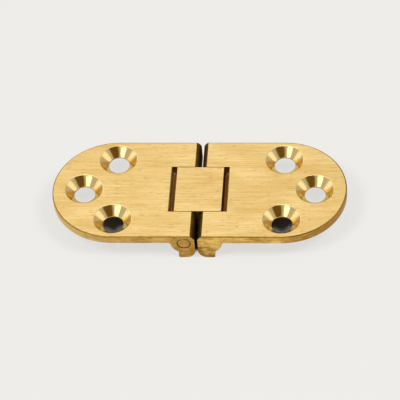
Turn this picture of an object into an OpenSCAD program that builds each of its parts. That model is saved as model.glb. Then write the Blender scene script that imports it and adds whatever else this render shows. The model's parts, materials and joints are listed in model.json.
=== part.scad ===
// Card table hinge: two brass leaves with round ends, joined by a link on two pins.
// It lies open on its feet, with the top faces level and the joint across X = 0.

/* [Leaves] */
// Length over both leaves when the hinge lies open
open_l = 65; // [54:0.5:100]
// Width of the leaves, along the joint
leaf_w = 28; // [24:0.5:40]
// Thickness of the plate that is let into the table
plate_t = 2.1; // [1.8:0.1:3]
// Bevel on the rim of the top face
rim_bevel = 0.2; // [0.1:0.05:0.5]

/* [Screw holes] */
// Shank hole for a countersunk wood screw
hole_d = 4.6; // [3.5:0.1:5]
// Width of the countersink at the top face
sink_d = 8.4; // [7:0.1:9]
// Included angle of the countersink
sink_angle = 90; // [82:1:100]
// Distance between the two holes beside each other
pair_pitch = 17.5; // [15:0.25:18.5]
// From the round end to the line through that pair
pair_inset = 14; // [12:0.25:18]
// From the round end to the single hole
end_inset = 7; // [6:0.25:8]

/* [Knuckles] */
// Height from the underside of the feet to the top face
hinge_h = 6.8; // [6.2:0.1:8]
// Depth of the pin axes below the top face
pin_depth = 2.25; // [2:0.05:2.6]
// Space left between the top faces when the hinge is shut
shut_gap = 0.9; // [0.6:0.1:1.2]
// Space between the knuckles where they face each other
joint_gap = 0.6; // [0.2:0.05:0.8]
// Radius of the knuckle under the plate, about the pin
flank_r = 2.9; // [2.7:0.05:3.2]
// Fillet between that flank and the plate
flank_fillet = 0.65; // [0.2:0.05:0.8]
// Length of the foot, from the joint face outwards
foot_l = 3.65; // [3:0.05:4.5]
// Round nose of the foot, below the joint
nose_r = 2.1; // [1.5:0.1:2.8]
// Rounded outer edge of the foot
foot_edge_r = 0.3; // [0.1:0.05:0.6]

/* [Link] */
// Width of the link, along the joint
link_w = 13; // [10:0.5:16]
// Height of the link below the top face
link_h = 5.4; // [4.6:0.1:5.6]
// Length of the link, between its flat ends
link_l = 10.4; // [9.8:0.1:11]

/* [Pins] */
// Diameter of the pins
pin_d = 3; // [2.4:0.1:3.2]
// Length of the pins
pin_l = 25; // [22:0.5:26]
// Bevel on the pin's showing end
pin_bevel = 0.2; // [0.1:0.05:0.4]

/* [Clearances] */
// Between a pin and the leaf that it is driven into, on the radius
driven_clearance = 0.01; // [0.01:0.005:0.02]
// Between a pin and the link that turns on it, on the radius
turning_clearance = 0.05; // [0.02:0.01:0.1]
// Between the link and each side of its slot
slot_clearance = 0.1; // [0.05:0.05:0.3]
// Between the turning link and the end of its slot, at the plate's underside
swing_clearance = 0.1; // [0.08:0.02:0.3]
// How far the end of the slot leans outwards from the plate's underside to its top
slot_lean = 0.3; // [0.1:0.05:0.5]
// From each knuckle's round to the centre plane, where the two roll past each other
roll_clearance = 0.05; // [0.03:0.01:0.1]
// Between a driven pin and the bottom of its hole
pin_end_clearance = 0.2; // [0.1:0.05:0.5]

/* [Hidden] */
$fn = 64;

BRASS = "#d9b56a";
PIN_BRASS = "#c9a252";

// Every cutter reaches this far past the face that it opens
over = 1;
tip_x = open_l / 2;
end_r = leaf_w / 2;
pair_x = tip_x - pair_inset;
end_hole_x = tip_x - end_inset;
plate_z = hinge_h - plate_t;
pin_z = hinge_h - pin_depth;
pin_x = pin_depth + shut_gap / 2;
pin_r = pin_d / 2;
barrel_r = pin_x - roll_clearance;
face_x = joint_gap / 2;
// The link's top corners and its round lower corners swing this far from the pin
link_end_r = norm([link_l / 2 - pin_x, pin_depth]);
slot_l = pin_x + link_end_r + swing_clearance;
slot_w = link_w + 2 * slot_clearance;

// Straight stretch of a section, drawn between two corners
module block(from, to) {
    translate(from) square(to - from);
}

// Turns a section drawn in X and Z into a solid of one width, centred on Y = 0
module across(width) {
    rotate([90, 0, 0]) linear_extrude(width, center = true) children();
}

// What a round edge takes off an outer corner; dir points along X into the section
module corner_waste(corner, r, dir) {
    translate(corner) scale([dir, 1]) difference() {
        block([-over, -over], [r, r]);
        translate([r, r]) circle(r);
    }
}

// The knuckle's foot, with a round nose at the joint and an eased outer edge
module foot_section() {
    difference() {
        block([face_x, 0], [face_x + foot_l, pin_z]);
        corner_waste([face_x, 0], nose_r, 1);
        corner_waste([face_x + foot_l, 0], foot_edge_r, -1);
    }
}

// The flank runs about the pin and blends into the underside of the plate
module flank_section() {
    fillet_z = plate_z - flank_fillet;
    fillet_x = pin_x + sqrt(pow(flank_r + flank_fillet, 2) - pow(fillet_z - pin_z, 2));
    intersection() {
        translate([pin_x, pin_z]) circle(flank_r);
        block([pin_x, 0], [pin_x + flank_r + over, plate_z + over]);
    }
    difference() {
        polygon([[pin_x, pin_z], [fillet_x, fillet_z], [fillet_x, plate_z + over], [pin_x, plate_z + over]]);
        translate([fillet_x, fillet_z]) circle(flank_fillet);
    }
}

// Drawn section of a leaf: plate, barrel about the pin, flank and foot
module leaf_section() {
    block([pin_x, plate_z], [tip_x + over, hinge_h + over]);
    intersection() {
        translate([pin_x, pin_z]) circle(barrel_r);
        block([face_x, 0], [pin_x + barrel_r, hinge_h + over]);
    }
    flank_section();
    foot_section();
}

// Outline of a leaf from above, with a full round end and a bevelled top rim
module leaf_outline() {
    straight_l = tip_x - end_r;
    half_section = [
        [0, -over],
        [end_r, -over],
        [end_r, hinge_h - rim_bevel],
        [end_r - rim_bevel, hinge_h],
        [0, hinge_h]
    ];
    rotate([90, 0, 90]) linear_extrude(straight_l) {
        polygon(half_section);
        mirror([1, 0]) polygon(half_section);
    }
    translate([straight_l, 0, 0]) rotate([0, 0, -90]) rotate_extrude(angle = 180) polygon(half_section);
}

// Screw hole through the plate, countersunk from the top face
module screw_hole(x, y) {
    sink_depth = (sink_d - hole_d) / 2 / tan(sink_angle / 2);
    sink_slope = (sink_d - hole_d) / 2 / sink_depth;
    translate([x, y, 0]) {
        translate([0, 0, plate_z - over]) cylinder(d = hole_d, h = plate_t + 2 * over);
        translate([0, 0, hinge_h - sink_depth])
            cylinder(d1 = hole_d, d2 = sink_d + 2 * over * sink_slope, h = sink_depth + over);
    }
}

// Slot for the link, open at the joint, with an end that leans outwards through the plate
module slot() {
    across(slot_w) polygon([
        [-over, -over],
        [slot_l, -over],
        [slot_l, plate_z],
        [slot_l + slot_lean, hinge_h],
        [slot_l + slot_lean, hinge_h + over],
        [-over, hinge_h + over]
    ]);
}

// The right leaf; its pin is driven in from the back
module leaf() {
    hole_l = pin_l + pin_end_clearance;
    difference() {
        intersection() {
            across(leaf_w + 2 * over) leaf_section();
            leaf_outline();
        }
        slot();
        translate([pin_x, end_r + over, pin_z]) rotate([90, 0, 0])
            cylinder(r = pin_r + driven_clearance, h = hole_l + over);
        for (side = [-1, 1]) screw_hole(pair_x, side * pair_pitch / 2);
        screw_hole(end_hole_x, 0);
    }
}

// The right pin, flush with the back of its leaf, with a bevel on the end that shows
module pin() {
    translate([pin_x, end_r - pin_l, pin_z]) rotate([-90, 0, 0])
        rotate_extrude() polygon([
            [0, 0],
            [pin_r, 0],
            [pin_r, pin_l - pin_bevel],
            [pin_r - pin_bevel, pin_l],
            [0, pin_l]
        ]);
}

module right_leaf() {
    color(BRASS) leaf();
}

// The left leaf is the same piece turned half round, so its pin shows at the front
module left_leaf() {
    color(BRASS) rotate([0, 0, 180]) leaf();
}

module right_pin() {
    color(PIN_BRASS) pin();
}

module left_pin() {
    color(PIN_BRASS) rotate([0, 0, 180]) pin();
}

// Flat-topped link with flat ends, whose lower corners are round about the two pins
module link() {
    color(BRASS) across(link_w) difference() {
        intersection() {
            union() {
                for (side = [-1, 1]) translate([side * pin_x, pin_z]) circle(link_end_r);
                block([-pin_x, 0], [pin_x, hinge_h + over]);
            }
            block([-link_l / 2, hinge_h - link_h], [link_l / 2, hinge_h]);
        }
        for (side = [-1, 1]) translate([side * pin_x, pin_z]) circle(pin_r + turning_clearance);
    }
}

left_leaf();
right_leaf();
link();
left_pin();
right_pin();
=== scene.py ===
"""Card table hinge in brass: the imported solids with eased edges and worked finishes, on a pale floor."""
import json
import math

import bmesh
import bpy
from mathutils import Matrix, Vector


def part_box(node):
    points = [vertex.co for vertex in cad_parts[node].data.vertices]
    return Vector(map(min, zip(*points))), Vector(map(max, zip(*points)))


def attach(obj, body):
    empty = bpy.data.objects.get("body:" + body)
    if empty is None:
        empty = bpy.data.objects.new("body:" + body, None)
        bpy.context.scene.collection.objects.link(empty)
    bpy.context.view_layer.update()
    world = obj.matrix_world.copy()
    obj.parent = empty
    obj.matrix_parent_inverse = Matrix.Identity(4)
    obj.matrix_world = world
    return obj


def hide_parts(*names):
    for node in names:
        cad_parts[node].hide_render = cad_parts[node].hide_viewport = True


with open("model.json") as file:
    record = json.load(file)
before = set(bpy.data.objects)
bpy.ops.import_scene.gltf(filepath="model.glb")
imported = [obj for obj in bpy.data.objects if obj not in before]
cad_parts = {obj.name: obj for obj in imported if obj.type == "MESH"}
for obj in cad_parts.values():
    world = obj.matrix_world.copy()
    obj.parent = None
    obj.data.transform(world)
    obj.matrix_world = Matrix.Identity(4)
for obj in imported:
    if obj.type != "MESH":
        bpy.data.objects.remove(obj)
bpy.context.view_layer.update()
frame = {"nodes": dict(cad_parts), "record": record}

bl_info = {
    "name": "Card Table Hinge",
    "version": (1, 0, 0),
    "blender": (4, 5, 0),
    "location": "3D View > Sidebar > Hinge",
    "description": "Dresses a card table hinge in brushed, turned and sawn brass",
    "category": "Object",
}

MM = 0.001
MICRON = MM / 1000
SIDES = ("left", "right")
MOUNTS = {mount["name"]: mount for mount in frame["record"]["mounts"]}
TOP_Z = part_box("link")[1].z
PLATE_Z = MOUNTS["left_underside"]["pos_m"][2]
# Points closer than this count as one, and faces closer than this to a plane lie on it
WELD = 0.1 * MICRON
ON_PLANE = 5 * MICRON
# Faces that turn by less than this are one flat face, and edges that turn by more than this are eased
FLAT = math.radians(0.5)
SHARP = math.radians(25)
# Steps across the eased strip of the rim and of the other edges
RIM_STEPS = 3
EDGE_STEPS = 2
# A face looks along an axis if its normal's share of it is over the first, and square to it if below the next
ALONG = 0.9
SQUARE = 0.1
# Least share of their axis in the normal of the bevels on the rim and on the pins
RIM_SLOPE = 0.6
PIN_SLOPE = 0.5
# The knuckles are darkened closer than this to the middle in X, and higher than this above the floor
JOINT_HALF = 2 * MM
JOINT_FOOT = 1 * MM
# The end walls of the slots have their centres closer than this to the middle in X, and than this in Y
SLOT_REACH = 7 * MM
SLOT_MIDDLE = 1 * MM
# Sockets of a Mix node for colours, by place, because its sockets for numbers have the same names
MIX_SHARE = 0
MIX_LOW = 6
MIX_HIGH = 7
MIX_RESULT = 2
# Values of one noise pattern, and of two added up, between which a tone or roughness changes
ONE_PATTERN = (0.3, 0.7)
TWO_PATTERNS = (0.75, 1.25)
TWO_SOFT_PATTERNS = (0.7, 1.3)
# Values of the dashes' pattern from none to full, and how much of the face's colour a full dash covers
DASHES = (0.6, 0.74)
DASH_COVER = 0.7
# Stretches in X over which the plates' edges are painted paler to the left, as painted light, and darker to
# the right, as painted shade
PAINTED_LIGHT_END = (-31 * MM, -20 * MM)
PAINTED_SHADE_END = (16 * MM, 28 * MM)
# How much they change there, and how the knuckle's painted shade changes from half its height up to the plate
END_CHANGE = 0.4
FOOT_PAINTED_SHADE = (-0.2, 0.05)
# Tone of the tool marks in the countersinks, as a share of the rest
RING_SHADE = 0.93
# How far the roughness of a plain finish goes either way, as a share of it
ROUGHNESS_SPREAD = 0.15
# Share of the floor's look that is its own pale colour, which keeps the shadow round the hinge light
FLOOR_GLOW = 0.8
# Share of the light that the paper gives back, in the open, and under the leaves, where it is painted darker
# as a deep shadow
PAPER_SHADE = 0.2
COVERED_SHADE = 0.1
# Places under the hinge where a deep shadow is painted on the floor: middle in X and Y, half size in X and Y,
# and soft border
DEEP_SHADOWS = {
    "leaves": (-0.5 * MM, -4.5 * MM, 20.5 * MM, 1.7 * MM, 3.5 * MM),
    "left_slot": (-5.8 * MM, 4.5 * MM, 0.6 * MM, 5.6 * MM, 3 * MM),
    "right_slot": (4.8 * MM, 4.5 * MM, 0.6 * MM, 5.6 * MM, 3 * MM),
    "groove": (0, -7.2 * MM, 1.5 * MM, 4.2 * MM, 1.5 * MM),
}
# Shares of the sky that the floor sees, from covered to open and from shut in by the slots to covered
COVERED_TO_OPEN = (0.4, 0.7)
SHUT_IN_TO_COVERED = (0.12, 0.18)
# What stands further off than this doesn't cover the floor
SKY_REACH = 50 * MM


def linear(hex_colour):
    """Turns an sRGB hex colour into linear red, green and blue."""
    channels = [int(hex_colour[i:i + 2], 16) / 255 for i in (1, 3, 5)]
    return tuple(c / 12.92 if c <= 0.04045 else ((c + 0.055) / 1.055) ** 2.4 for c in channels)


def colour(name, description, hex_colour):
    return bpy.props.FloatVectorProperty(
        name=name, description=description, subtype="COLOR", size=3, min=0, max=1, default=linear(hex_colour)
    )


def length(name, description, millimetres):
    return bpy.props.FloatProperty(
        name=name, description=description, subtype="DISTANCE", unit="LENGTH", min=0, precision=6,
        default=millimetres * MM,
    )


def angle(name, description, degrees):
    return bpy.props.FloatProperty(
        name=name, description=description, subtype="ANGLE", unit="ROTATION", default=math.radians(degrees)
    )


def brightness(name, description, level):
    return bpy.props.FloatProperty(name=name, description=description, min=0, default=level)


class HingeSizes(bpy.types.PropertyGroup):
    edge_round: length("Edge round", "Width of the eased strip along every sharp edge", 0.1)
    rim_round: length("Rim round", "Width of the eased strip along the rim of the top faces", 0.15)
    countersink_rim: length("Countersink rim", "Radius within which a screw hole is turned", 4.25)
    brush_gap: length("Brush gap", "Distance between brush lines on the top faces", 0.36)
    brush_run: length("Brush run", "Length of one brush line", 8)
    brush_depth: length("Brush depth", "Depth of the brush lines", 0.02)
    cloud_gap: length("Cloud gap", "Width of the paler clouds on the top faces", 4)
    cloud_run: length("Cloud run", "Length of the paler clouds, along the leaf", 12)
    dash_gap: length("Dash gap", "Width of the dark dashes among the brush lines", 0.288)
    dash_run: length("Dash run", "Length of the dark dashes", 1.6)
    turning_pitch: length("Turning pitch", "Distance between tool marks in the countersinks", 0.22)
    turning_depth: length("Turning depth", "Depth of the tool marks", 0.02)
    saw_pitch: length("Saw pitch", "Distance between saw marks on the sawn ends", 0.6)
    saw_run: length("Saw run", "Length of one saw mark", 3.6)
    saw_depth: length("Saw depth", "Depth of the saw marks", 0.07)
    facing_depth: length("Facing depth", "Depth of the cutter's marks on the faced ends", 0.012)
    end_stain: length("End stain", "Size of the stains on the sawn and faced ends", 2.5)
    drawing_gap: length("Drawing gap", "Distance between die lines along the knuckles", 0.25)
    drawing_run: length("Drawing run", "Length of one die line", 15)
    drawing_depth: length("Drawing depth", "Depth of the die lines", 0.02)
    drawn_stain: length("Drawn stain", "Width of the stains on knuckles and undersides", 5)
    drawn_stain_run: length("Drawn stain run", "Length of those stains, along the knuckle", 6)
    patch: length("Patch", "Size of the patches on rubbed, milled and darkened faces", 1.5)


class HingeColours(bpy.types.PropertyGroup):
    brushed: colour("Brushed", "Top faces", "#F6D692")
    brushed_low: colour("Brushed, low", "Bottom of the brush lines", "#E2BB70")
    scratch: colour("Scratch", "Dark dashes among the brush lines", "#C69C50")
    turned: colour("Turned", "Countersinks", "#EACB8A")
    glancing: colour("Glancing", "Countersinks at a glancing angle", "#F0DCA8")
    # Painted shade: the rim is darker than the top faces, to draw the dark line along its bevel
    rim: colour("Rim", "Bevelled rim of the top faces", "#A98540")
    sawn: colour("Sawn", "Sawn ends", "#F2CB70")
    sawn_low: colour("Sawn, low", "Bottom of the saw marks", "#9A6A22")
    faced: colour("Faced", "Faced ends and plate edges", "#DFB86C")
    faced_low: colour("Faced, low", "Stains on the faced ends", "#AC7E2E")
    milled: colour("Milled", "End walls of the slots", "#EBC478")
    drawn: colour("Drawn", "Knuckles and undersides", "#B98C3E")
    drawn_low: colour("Drawn, low", "Bottom of the die lines", "#8A6122")
    # Painted shade: darker brass for the joint, the link's ends and the bores, where shade falls
    dark: colour("Darkened", "Knuckles inside the joint, ends of the link, and bores", "#7A5A26")
    floor: colour("Floor", "Paper that the hinge lies on", "#EFEDE9")
    # Painted bounce light: the paper in the slots takes this brown in place of light off the brass
    slot_floor: colour("Floor in the slots", "Paper seen through the slots, lit off the brass", "#E6A538")
    opening: colour("Opening", "Dim room seen through the tent's opening", "#6E5515")


class HingeStage(bpy.types.PropertyGroup):
    azimuth: angle("Azimuth", "Camera's turn to the right of the front", 7.544)
    elevation: angle("Elevation", "Camera's height above the floor, as an angle", 48.076)
    roll: angle("Roll", "Camera's turn about its own axis", 5.547)
    distance: length("Distance", "From the camera to the middle of the top face", 644.8)
    aim_right: length("Aim right", "How far right of the middle the camera looks", 0.195)
    aim_down: length("Aim down", "How far below the middle the camera looks", 2.44)
    lens: bpy.props.FloatProperty(
        name="Lens", description="Focal length in millimetres on a 36 mm sensor", default=263.8, min=1
    )
    cloth: brightness("Cloth", "White cloth of the light tent, away from its lamps", 0.65)
    back: brightness("Back", "Lamp behind the tent's back wall", 1.05)
    roof: brightness("Roof", "Lamp above the tent", 2)
    sides: brightness("Sides", "Lamps behind the tent's sides", 1.4)
    corner: brightness("Corner", "Lamp behind the tent's left back corner", 2.5)
    low_back: brightness("Low back", "Shaded foot of the tent's back wall", 0.35)
    key: brightness("Key", "Lamp left of the camera, for the metal alone", 1.9)
    floor_lamp: brightness("Floor lamps", "Small lamps high on both sides, for the floor alone", 77)
    lamp_distance: length("Lamp distance", "From the hinge to the lamps", 900)
    floor_half: length("Floor half", "Half the side of the floor", 2000)


def add(tree, kind, sockets=(), output=0, **settings):
    """Adds a shader node and gives its output; its sockets, by place or name, take values or links."""
    node = tree.nodes.new(kind)
    for name, value in settings.items():
        setattr(node, name, value)
    for key, value in sockets.items() if isinstance(sockets, dict) else enumerate(sockets):
        if isinstance(value, bpy.types.NodeSocket):
            tree.links.new(value, node.inputs[key])
        else:
            node.inputs[key].default_value = value
    return node.outputs[output] if node.outputs else None


def opaque(rgb):
    return (*rgb, 1)


def darker(rgb, share):
    return [share * c for c in rgb]


def new_material(name):
    """A material with an empty node tree, and that tree."""
    material = bpy.data.materials.new(name)
    material.use_nodes = True
    material.node_tree.nodes.clear()
    return material, material.node_tree


def brushed_brass(sizes, colours):
    # Brass rubbed with grit along the leaf: long fine lines, which blur what the face mirrors across them.
    # The lines are drawn about ten times as coarse as the grit leaves them, so that they show.
    material, tree = new_material("brushed_brass")
    place = add(tree, "ShaderNodeTexCoord", output="Object")
    cells = (
        ((sizes.brush_run, sizes.brush_gap, sizes.brush_gap), 3),
        ((sizes.cloud_run, sizes.cloud_gap, sizes.cloud_gap), 2),
        ((sizes.dash_run, sizes.dash_gap, sizes.brush_gap), 1),
    )
    patterns = []
    for cell, detail in cells:
        scaled = add(tree, "ShaderNodeVectorMath", (place, [1 / size for size in cell]), operation="MULTIPLY")
        patterns.append(add(tree, "ShaderNodeTexNoise", {"Vector": scaled, "Scale": 1, "Detail": detail}))
    lines, clouds, dashes = patterns
    tone = add(tree, "ShaderNodeMath", (lines, clouds), operation="ADD")
    share = add(tree, "ShaderNodeMapRange", (tone, *TWO_PATTERNS, 0, 1))
    tones = {MIX_SHARE: share, MIX_LOW: opaque(colours.brushed_low), MIX_HIGH: opaque(colours.brushed)}
    shade = add(tree, "ShaderNodeMix", tones, output=MIX_RESULT, data_type="RGBA")
    score = add(tree, "ShaderNodeMapRange", (dashes, *DASHES, 0, DASH_COVER))
    dashed = {MIX_SHARE: score, MIX_LOW: shade, MIX_HIGH: opaque(colours.scratch)}
    bump = {"Height": lines, "Strength": 0.25, "Distance": sizes.brush_depth}
    along = add(tree, "ShaderNodeVectorTransform", ((0, 1, 0),), convert_from="OBJECT", convert_to="WORLD")
    shader = add(tree, "ShaderNodeBsdfPrincipled", {
        "Base Color": add(tree, "ShaderNodeMix", dashed, output=MIX_RESULT, data_type="RGBA"),
        "Metallic": 1,
        "Roughness": add(tree, "ShaderNodeMapRange", (lines, *ONE_PATTERN, 0.44, 0.34)),
        "Anisotropic": 0.6,
        "Tangent": along,
        "Normal": add(tree, "ShaderNodeBump", bump),
    })
    add(tree, "ShaderNodeOutputMaterial", {"Surface": shader})
    return material


def turned_brass(sizes, colours):
    # Brass cut by a countersink bit: bright, with faint rings round the hole, which blur what it mirrors
    # across them. The rings are drawn a few times as coarse as the tool leaves them, so that they show.
    material, tree = new_material("turned_brass")
    radius = add(tree, "ShaderNodeAttribute", output="Fac", attribute_name="bore_radius")
    turns = add(tree, "ShaderNodeMath", (radius, 1 / sizes.turning_pitch), operation="MULTIPLY")
    rings = add(tree, "ShaderNodeTexNoise", {"W": turns, "Scale": 1, "Detail": 2}, noise_dimensions="1D")
    share = add(tree, "ShaderNodeMapRange", (rings, *ONE_PATTERN, 0, 1))
    low, high = opaque(darker(colours.turned, RING_SHADE)), opaque(colours.turned)
    tones = {MIX_SHARE: share, MIX_LOW: low, MIX_HIGH: high}
    bump = {"Height": rings, "Strength": 0.03, "Distance": sizes.turning_depth}
    slope = add(tree, "ShaderNodeVectorTransform", ((0, 0, 1),), convert_from="OBJECT", convert_to="WORLD")
    shader = add(tree, "ShaderNodeBsdfPrincipled", {
        "Base Color": add(tree, "ShaderNodeMix", tones, output=MIX_RESULT, data_type="RGBA"),
        "Metallic": 1,
        # Brass keeps its colour at a glancing angle, so the near side of a hole doesn't look grey
        "Specular Tint": opaque(colours.glancing),
        "Roughness": add(tree, "ShaderNodeMapRange", (rings, *ONE_PATTERN, 0.16, 0.11)),
        "Anisotropic": 0.8,
        "Tangent": slope,
        "Normal": add(tree, "ShaderNodeBump", bump),
    })
    add(tree, "ShaderNodeOutputMaterial", {"Surface": shader})
    return material


def cut_brass(sizes, name, low, high, depth):
    # Brass cut to length: wavy ridges that break up what it mirrors, deep from a saw or fine from a cutter.
    material, tree = new_material(name)
    pitch, stain_size = sizes.saw_pitch, sizes.end_stain
    place = add(tree, "ShaderNodeTexCoord", output="Object")
    patterns = []
    for cell, waves in (((sizes.saw_run, pitch, pitch), 1.2), ([stain_size] * 3, 0)):
        scaled = add(tree, "ShaderNodeVectorMath", (place, [1 / size for size in cell]), operation="MULTIPLY")
        noise = {"Vector": scaled, "Scale": 1, "Detail": 3, "Roughness": 0.6, "Distortion": waves}
        patterns.append(add(tree, "ShaderNodeTexNoise", noise))
    marks, stain = patterns
    # Painted light and shade: the knuckle is darker towards its foot, and the plates' edges paler to the left
    # and darker to the right
    across, height = (add(tree, "ShaderNodeSeparateXYZ", (place,), output=axis) for axis in "XZ")
    foot = add(tree, "ShaderNodeMapRange", (height, PLATE_Z / 2, PLATE_Z, *FOOT_PAINTED_SHADE))
    left_end = add(tree, "ShaderNodeMapRange", (across, *PAINTED_LIGHT_END, END_CHANGE, 0))
    right_end = add(tree, "ShaderNodeMapRange", (across, *PAINTED_SHADE_END, 0, -END_CHANGE))
    tone = marks
    for change in (stain, foot, left_end, right_end):
        tone = add(tree, "ShaderNodeMath", (tone, change), operation="ADD")
    share = add(tree, "ShaderNodeMapRange", (tone, *TWO_PATTERNS, 0, 1))
    tones = {MIX_SHARE: share, MIX_LOW: opaque(low), MIX_HIGH: opaque(high)}
    shader = add(tree, "ShaderNodeBsdfPrincipled", {
        "Base Color": add(tree, "ShaderNodeMix", tones, output=MIX_RESULT, data_type="RGBA"),
        "Metallic": 1,
        "Roughness": add(tree, "ShaderNodeMapRange", (marks, *ONE_PATTERN, 0.5, 0.36)),
        "Normal": add(tree, "ShaderNodeBump", {"Height": marks, "Strength": 1, "Distance": depth}),
    })
    add(tree, "ShaderNodeOutputMaterial", {"Surface": shader})
    return material


def drawn_brass(sizes, colours):
    # Brass pulled through a die: dull, a little stained, with die lines that run along the knuckle.
    # The lines are drawn a few times as coarse as a die leaves them, so that they show.
    material, tree = new_material("drawn_brass")
    gap, stain_size = sizes.drawing_gap, sizes.drawn_stain
    place = add(tree, "ShaderNodeTexCoord", output="Object")
    patterns = []
    for cell in ((gap, sizes.drawing_run, gap), (stain_size, sizes.drawn_stain_run, stain_size)):
        scaled = add(tree, "ShaderNodeVectorMath", (place, [1 / size for size in cell]), operation="MULTIPLY")
        noise = {"Vector": scaled, "Scale": 1, "Detail": 3, "Roughness": 0.6}
        patterns.append(add(tree, "ShaderNodeTexNoise", noise))
    lines, stain = patterns
    tone = add(tree, "ShaderNodeMath", (lines, stain), operation="ADD")
    share = add(tree, "ShaderNodeMapRange", (tone, *TWO_SOFT_PATTERNS, 0, 1))
    tones = {MIX_SHARE: share, MIX_LOW: opaque(colours.drawn_low), MIX_HIGH: opaque(colours.drawn)}
    bump = {"Height": lines, "Strength": 0.4, "Distance": sizes.drawing_depth}
    shader = add(tree, "ShaderNodeBsdfPrincipled", {
        "Base Color": add(tree, "ShaderNodeMix", tones, output=MIX_RESULT, data_type="RGBA"),
        "Metallic": 1,
        "Roughness": add(tree, "ShaderNodeMapRange", (stain, *ONE_PATTERN, 0.45, 0.3)),
        "Normal": add(tree, "ShaderNodeBump", bump),
    })
    add(tree, "ShaderNodeOutputMaterial", {"Surface": shader})
    return material


def plain_brass(sizes, name, rgb, shade, roughness):
    # Brass with no marks of its own that show: a milled wall, or a bevelled rim, joint faces, link ends and
    # bores that are given a darker colour as painted shade.
    material, tree = new_material(name)
    place = add(tree, "ShaderNodeTexCoord", output="Object")
    cells = add(tree, "ShaderNodeVectorMath", (place, [1 / sizes.patch] * 3), operation="MULTIPLY")
    patches = add(tree, "ShaderNodeTexNoise", {"Vector": cells, "Scale": 1, "Detail": 3, "Roughness": 0.6})
    share = add(tree, "ShaderNodeMapRange", (patches, *ONE_PATTERN, 0, 1))
    low = opaque(darker(rgb, shade))
    rough, fine = (1 + ROUGHNESS_SPREAD) * roughness, (1 - ROUGHNESS_SPREAD) * roughness
    tones = {MIX_SHARE: share, MIX_LOW: low, MIX_HIGH: opaque(rgb)}
    shader = add(tree, "ShaderNodeBsdfPrincipled", {
        "Base Color": add(tree, "ShaderNodeMix", tones, output=MIX_RESULT, data_type="RGBA"),
        "Metallic": 1,
        "Specular Tint": low,
        "Roughness": add(tree, "ShaderNodeMapRange", (patches, *ONE_PATTERN, rough, fine)),
    })
    add(tree, "ShaderNodeOutputMaterial", {"Surface": shader})
    return material


def sawn_brass(sizes, colours):
    return cut_brass(sizes, "sawn_brass", colours.sawn_low, colours.sawn, sizes.saw_depth)


def faced_brass(sizes, colours):
    return cut_brass(sizes, "faced_brass", colours.faced_low, colours.faced, sizes.facing_depth)


def rim_brass_painted_shade(sizes, colours):
    return plain_brass(sizes, "rim_brass_painted_shade", colours.rim, shade=0.7, roughness=0.25)


def milled_brass(sizes, colours):
    return plain_brass(sizes, "milled_brass", colours.milled, shade=0.8, roughness=0.7)


def dark_brass_painted_shade(sizes, colours):
    return plain_brass(sizes, "dark_brass_painted_shade", colours.dark, shade=0.5, roughness=0.45)


FINISHES = {
    "brushed_brass": brushed_brass,
    "turned_brass": turned_brass,
    "sawn_brass": sawn_brass,
    "faced_brass": faced_brass,
    "drawn_brass": drawn_brass,
    "rim_brass_painted_shade": rim_brass_painted_shade,
    "milled_brass": milled_brass,
    "dark_brass_painted_shade": dark_brass_painted_shade,
}


def finish(name, context):
    """A finish by its name, made the first time that it is asked for."""
    make = FINISHES[name]
    return bpy.data.materials.get(name) or make(context.scene.hinge_sizes, context.scene.hinge_colours)


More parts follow.
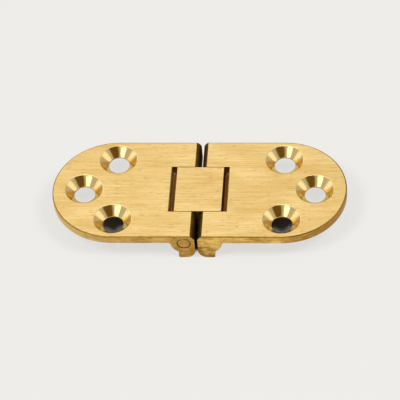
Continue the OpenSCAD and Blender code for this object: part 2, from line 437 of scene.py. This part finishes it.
def floor_paper(colours):
    # Matte paper: pale and even, with no gloss. Where it shows through the slots it is painted brown, as
    # light bounced off the brass; where the hinge covers it, in the places of painted deep shadow, it is
    # painted darker and doesn't glow.
    material, tree = new_material("floor_paper")
    glow = add(tree, "ShaderNodeEmission", {"Color": opaque(colours.floor), "Strength": 1})
    seen = 0
    for kind in ("Is Camera Ray", "Is Glossy Ray", "Is Transmission Ray"):
        ray = add(tree, "ShaderNodeLightPath", output=kind)
        seen = add(tree, "ShaderNodeMath", (seen, ray), operation="MAXIMUM")
    share = add(tree, "ShaderNodeMath", (seen, FLOOR_GLOW), operation="MULTIPLY")
    place = add(tree, "ShaderNodeTexCoord", output="Object")
    sky = add(tree, "ShaderNodeAmbientOcclusion", {"Distance": SKY_REACH}, output="AO", samples=16)
    uncovered = add(tree, "ShaderNodeMapRange", (sky, *COVERED_TO_OPEN, 0, 1))
    let_out = add(tree, "ShaderNodeMapRange", (sky, *SHUT_IN_TO_COVERED, 0, 1))
    tone, dim = (opaque(darker(colours.floor, shade)) for shade in (PAPER_SHADE, COVERED_SHADE))
    for name, (x, y, half_x, half_y, border) in DEEP_SHADOWS.items():
        offset = add(tree, "ShaderNodeVectorMath", (place, (x, y, 0)), operation="SUBTRACT")
        reach = add(tree, "ShaderNodeVectorMath", (offset,), operation="ABSOLUTE")
        past = add(tree, "ShaderNodeVectorMath", (reach, (half_x, half_y, 0)), operation="SUBTRACT")
        outside = add(tree, "ShaderNodeVectorMath", (past, (0, 0, 0)), operation="MAXIMUM")
        away = add(tree, "ShaderNodeVectorMath", (outside,), output="Value", operation="LENGTH")
        # Inside each place the floor's glow is taken off, as painted shadow, where the ambient occlusion
        # finds it covered
        fade = (away, 0, border, 0, 1)
        clear = add(tree, "ShaderNodeMapRange", fade, interpolation_type="SMOOTHSTEP")
        lit = add(tree, "ShaderNodeMath", (clear, uncovered), operation="MAXIMUM")
        share = add(tree, "ShaderNodeMath", (share, lit), operation="MULTIPLY")
        # In the slots the paper is painted brown, as bounce light off the brass, and elsewhere painted
        # darker, as deep shadow
        bare, low = (let_out, opaque(colours.slot_floor)) if name.endswith("slot") else (uncovered, dim)
        plain = add(tree, "ShaderNodeMath", (clear, bare), operation="MAXIMUM")
        tones = {MIX_SHARE: plain, MIX_LOW: low, MIX_HIGH: tone}
        tone = add(tree, "ShaderNodeMix", tones, output=MIX_RESULT, data_type="RGBA")
    paper = add(tree, "ShaderNodeBsdfDiffuse", {"Color": tone})
    above = add(tree, "ShaderNodeMixShader", (share, paper, glow))
    # Seen from below the paper is left out, so that the underside can be looked at
    below = add(tree, "ShaderNodeNewGeometry", output="Backfacing")
    nothing = add(tree, "ShaderNodeBsdfTransparent")
    surface = add(tree, "ShaderNodeMixShader", (below, above, nothing))
    add(tree, "ShaderNodeOutputMaterial", {"Surface": surface})
    return material


def ease(work, edges, width, steps):
    """Rounds edges over a strip of the given width on each side."""
    bmesh.ops.bevel(
        work, geom=edges, offset=width, offset_type="OFFSET", segments=steps, profile=0.5,
        affect="EDGES", clamp_overlap=False, material=-1, loop_slide=True,
    )


def worked_piece(context, node, name, finishes, finish_of, rim=()):
    """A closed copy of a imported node, with whole flat faces, a finish on each face and every edge eased.

    Edges between the two finishes of the rim are eased most.
    """
    sizes = context.scene.hinge_sizes
    work = bmesh.new()
    work.from_mesh(frame["nodes"][node].data)
    bmesh.ops.remove_doubles(work, verts=work.verts, dist=WELD)
    bmesh.ops.dissolve_limit(work, angle_limit=FLAT, verts=work.verts, edges=work.edges)
    for face in work.faces:
        face.smooth = True
        face.material_index = finishes.index(finish_of(face))
    pair = {finishes.index(finish_name) for finish_name in rim}
    along_rim = [edge for edge in work.edges if {face.material_index for face in edge.link_faces} == pair]
    ease(work, along_rim, sizes.rim_round, RIM_STEPS)
    sharp = [edge for edge in work.edges if edge.calc_face_angle(0) > SHARP]
    ease(work, sharp, sizes.edge_round, EDGE_STEPS)
    mesh = bpy.data.meshes.new(name)
    work.to_mesh(mesh)
    work.free()
    for finish_name in finishes:
        mesh.materials.append(finish(finish_name, context))
    piece = bpy.data.objects.new(name, mesh)
    context.scene.collection.objects.link(piece)
    piece.modifiers.new("flat_faces", "WEIGHTED_NORMAL")
    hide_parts(node)
    return piece


def screw_axes(side):
    """The places in X and Y of a leaf's three screw holes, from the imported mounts."""
    pair, end = MOUNTS[f"{side}_screw_pair"], MOUNTS[f"{side}_end_screw"]
    half = pair["dims"]["spacing_y_mm"] * MM / 2
    x, y, _ = pair["pos_m"]
    return [Vector((x, y - half)), Vector((x, y + half)), Vector(end["pos_m"][:2])]


def leaf_finish(side, countersink_rim):
    """Gives the function that names the finish of each face of a leaf, by its place and the way it looks."""
    low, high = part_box(f"{side}_leaf")
    pin_low, pin_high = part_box(f"{side}_pin")
    axes = screw_axes(side)
    # The left leaf's pin shows at the front, and the right leaf's at the back
    pin_end = -1 if side == "left" else 1

    def finish_of(face):
        centre, normal = face.calc_center_median(), face.normal
        in_plate = centre.z > PLATE_Z
        in_joint = abs(centre.x) < JOINT_HALF and centre.z > JOINT_FOOT
        in_pin_hole = pin_low.x < centre.x < pin_high.x and pin_low.z < centre.z < pin_high.z
        at_slot_end = abs(centre.x) < SLOT_REACH and abs(centre.y) < SLOT_MIDDLE
        at_side = high.y - abs(centre.y) < ON_PLANE
        in_outer_half = abs(centre.x) > abs(low.x + high.x) / 2
        if min((centre.xy - axis).length for axis in axes) < countersink_rim and abs(normal.z) < ALONG:
            return "turned_brass" if normal.z > SQUARE else "dark_brass_painted_shade"
        if centre.z > TOP_Z - ON_PLANE and normal.z > ALONG:
            return "brushed_brass"
        # Painted shade: the joint's faces and the pin holes, like the bores above, take the dark finish
        if (in_joint or in_pin_hole) and abs(normal.y) < SQUARE:
            return "dark_brass_painted_shade"
        if in_plate and normal.z > RIM_SLOPE:
            return "rim_brass_painted_shade"
        if in_plate and at_slot_end and abs(normal.x) > ALONG:
            return "milled_brass"
        if at_side and abs(normal.y) > ALONG:
            return "faced_brass" if centre.y * pin_end > 0 else "sawn_brass"
        if in_plate and in_outer_half and abs(normal.z) < SQUARE:
            return "faced_brass"
        return "drawn_brass"

    return finish_of


class HINGE_OT_leaves(bpy.types.Operator):
    """Dress both leaves: brushed tops, turned countersinks, one sawn end, one faced end and drawn knuckles"""

    bl_idname = "hinge.leaves"
    bl_label = "Leaves"

    def execute(self, context):
        rim = ("brushed_brass", "rim_brass_painted_shade")
        for side in SIDES:
            node = f"{side}_leaf"
            finish_of = leaf_finish(side, context.scene.hinge_sizes.countersink_rim)
            piece = worked_piece(context, node, f"{side}_leaf_brass", list(FINISHES), finish_of, rim)
            axes = screw_axes(side)
            radius = piece.data.attributes.new("bore_radius", "FLOAT", "POINT")
            for vertex, item in zip(piece.data.vertices, radius.data):
                item.value = min((vertex.co.xy - axis).length for axis in axes)
            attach(piece, node)
        return {"FINISHED"}


class HINGE_OT_link(bpy.types.Operator):
    """Dress the link: a brushed top, ends painted dark as shade, and drawn sides"""

    bl_idname = "hinge.link"
    bl_label = "Link"

    def execute(self, context):
        def finish_of(face):
            if face.normal.z > ALONG:
                return "brushed_brass"
            # The link's ends take the dark finish, as painted shade in the slots
            return "dark_brass_painted_shade" if abs(face.normal.x) > ALONG else "drawn_brass"

        finishes = ["brushed_brass", "dark_brass_painted_shade", "drawn_brass"]
        piece = worked_piece(context, "link", "link_brass", finishes, finish_of)
        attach(piece, "link")
        return {"FINISHED"}


class HINGE_OT_pins(bpy.types.Operator):
    """Dress both pins: faced ends with a bevel painted dark like the rim, and drawn sides"""

    bl_idname = "hinge.pins"
    bl_label = "Pins"

    def execute(self, context):
        def finish_of(face):
            along = abs(face.normal.y)
            if along > ALONG:
                return "faced_brass"
            return "rim_brass_painted_shade" if along > PIN_SLOPE else "drawn_brass"

        finishes = ["faced_brass", "drawn_brass", "rim_brass_painted_shade"]
        for side in SIDES:
            piece = worked_piece(context, f"{side}_pin", f"{side}_pin_brass", finishes, finish_of)
            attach(piece, f"{side}_leaf")
        return {"FINISHED"}


def direction(turn, height):
    """The way to a light, by its turn to the right of the front and its height, in degrees."""
    across, up = math.radians(turn), math.radians(height)
    return Vector((math.sin(across) * math.cos(up), -math.cos(across) * math.cos(up), math.sin(up)))


class HINGE_OT_stage(bpy.types.Operator):
    """Lay the floor, hang the light tent and set up the camera"""

    bl_idname = "hinge.stage"
    bl_label = "Stage"

    def execute(self, context):
        stage = context.scene.hinge_stage
        self.lay_floor(context, stage)
        self.hang_tent(context, stage)
        self.hang_lamps(context, stage)
        self.set_camera(context, stage)
        context.scene.view_settings.view_transform = "Standard"
        return {"FINISHED"}

    def lay_floor(self, context, stage):
        half = stage.floor_half
        mesh = bpy.data.meshes.new("floor")
        corners = [(-half, -half, 0), (half, -half, 0), (half, half, 0), (-half, half, 0)]
        mesh.from_pydata(corners, [], [range(len(corners))])
        mesh.materials.append(floor_paper(context.scene.hinge_colours))
        floor = bpy.data.objects.new("floor", mesh)
        context.scene.collection.objects.link(floor)

    def hang_tent(self, context, stage):
        """White cloth all round with soft round lamps behind it, and an opening in front to a dim room."""
        world = bpy.data.worlds.new("light_tent")
        world.use_nodes = True
        context.scene.world = world
        tree = world.node_tree
        tree.nodes.clear()
        # Turn to the right of the front, height, radius and soft border, in degrees, and the light there
        lamps = {
            "back": (-165, 52, 40, 14, [stage.back] * 3),
            "roof": (-70, 78, 20, 8, [stage.roof] * 3),
            "low_back": (180, 2, 26, 14, [stage.low_back] * 3),
            "corner": (-139, 28, 7, 8, [stage.corner] * 3),
            "left_side": (-97, 17, 9, 12, [stage.sides] * 3),
            "right_side": (95, 24, 9, 12, [stage.sides] * 3),
            "opening": (29, 40, 18, 9, context.scene.hinge_colours.opening),
        }
        way = add(tree, "ShaderNodeTexCoord", output="Generated")
        level = opaque([stage.cloth] * 3)
        for turn, height, radius, border, light in lamps.values():
            facing = (way, direction(turn, height))
            close = add(tree, "ShaderNodeVectorMath", facing, output="Value", operation="DOT_PRODUCT")
            away = add(tree, "ShaderNodeMath", (close,), operation="ARCCOSINE")
            inner, outer = math.radians(radius), math.radians(radius + border)
            share = add(tree, "ShaderNodeMapRange", (away, inner, outer, 1, 0))
            levels = {MIX_SHARE: share, MIX_LOW: level, MIX_HIGH: opaque(light)}
            level = add(tree, "ShaderNodeMix", levels, output=MIX_RESULT, data_type="RGBA")
        background = add(tree, "ShaderNodeBackground", {"Color": level, "Strength": 1})
        add(tree, "ShaderNodeOutputWorld", {"Surface": background})

    def hang_lamps(self, context, stage):
        """A lamp left of the camera, whose edge shows sharp in each countersink, and two for the floor."""
        # Turn to the right of the front, height, half width and half height in degrees, and the light
        places = {
            "key_lamp": (-33, 38, 13, 10, stage.key),
            "left_floor_lamp": (-57, 58, 9, 9, stage.floor_lamp),
            "right_floor_lamp": (72, 58, 9, 9, stage.floor_lamp),
        }
        for name, (turn, height, half_width, half_height, level) in places.items():
            way = direction(turn, height)
            light = bpy.data.lights.new(name, "AREA")
            light.shape = "RECTANGLE"
            light.size = 2 * stage.lamp_distance * math.tan(math.radians(half_width))
            light.size_y = 2 * stage.lamp_distance * math.tan(math.radians(half_height))
            # An area lamp's power is its brightness times its area times pi
            light.energy = level * light.size * light.size_y * math.pi
            lamp = bpy.data.objects.new(name, light)
            lamp.location = stage.lamp_distance * way
            lamp.rotation_euler = way.to_track_quat("Z", "Y").to_euler()
            lamp.visible_camera = False
            lamp.visible_diffuse = name != "key_lamp"
            lamp.visible_glossy = name == "key_lamp"
            context.scene.collection.objects.link(lamp)

    def set_camera(self, context, stage):
        az, el, roll = stage.azimuth, stage.elevation, stage.roll
        back = Vector((math.sin(az) * math.cos(el), -math.cos(az) * math.cos(el), math.sin(el)))
        level_right = Vector((math.cos(az), math.sin(az), 0))
        level_up = back.cross(level_right)
        right = math.cos(roll) * level_right - math.sin(roll) * level_up
        up = math.sin(roll) * level_right + math.cos(roll) * level_up
        data = bpy.data.cameras.new("camera")
        data.lens = stage.lens
        camera = bpy.data.objects.new("camera", data)
        place = Vector((0, 0, TOP_Z)) + stage.distance * back + stage.aim_right * right - stage.aim_down * up
        camera.matrix_world = Matrix.Translation(place) @ Matrix((right, up, back)).transposed().to_4x4()
        context.scene.collection.objects.link(camera)
        context.scene.camera = camera


class HINGE_PT_panel(bpy.types.Panel):
    """Lists the hinge's steps and settings in the sidebar"""

    bl_idname = "HINGE_PT_panel"
    bl_label = "Card Table Hinge"
    bl_space_type = "VIEW_3D"
    bl_region_type = "UI"
    bl_category = "Hinge"

    def draw(self, context):
        for operator in OPERATORS:
            self.layout.operator(operator.bl_idname)
        for group in (context.scene.hinge_sizes, context.scene.hinge_colours, context.scene.hinge_stage):
            for name in group.bl_rna.properties.keys():
                if name not in ("rna_type", "name"):
                    self.layout.prop(group, name)


GROUPS = {"hinge_sizes": HingeSizes, "hinge_colours": HingeColours, "hinge_stage": HingeStage}
OPERATORS = (HINGE_OT_leaves, HINGE_OT_link, HINGE_OT_pins, HINGE_OT_stage)


def register():
    for cls in (*GROUPS.values(), *OPERATORS, HINGE_PT_panel):
        bpy.utils.register_class(cls)
    for name, group in GROUPS.items():
        setattr(bpy.types.Scene, name, bpy.props.PointerProperty(type=group))


def unregister():
    for name in GROUPS:
        delattr(bpy.types.Scene, name)
    for cls in (HINGE_PT_panel, *reversed(OPERATORS), *reversed(GROUPS.values())):
        bpy.utils.unregister_class(cls)


def main():
    register()
    bpy.ops.hinge.leaves()
    bpy.ops.hinge.link()
    bpy.ops.hinge.pins()
    bpy.ops.hinge.stage()


if __name__ == "__main__":
    main()
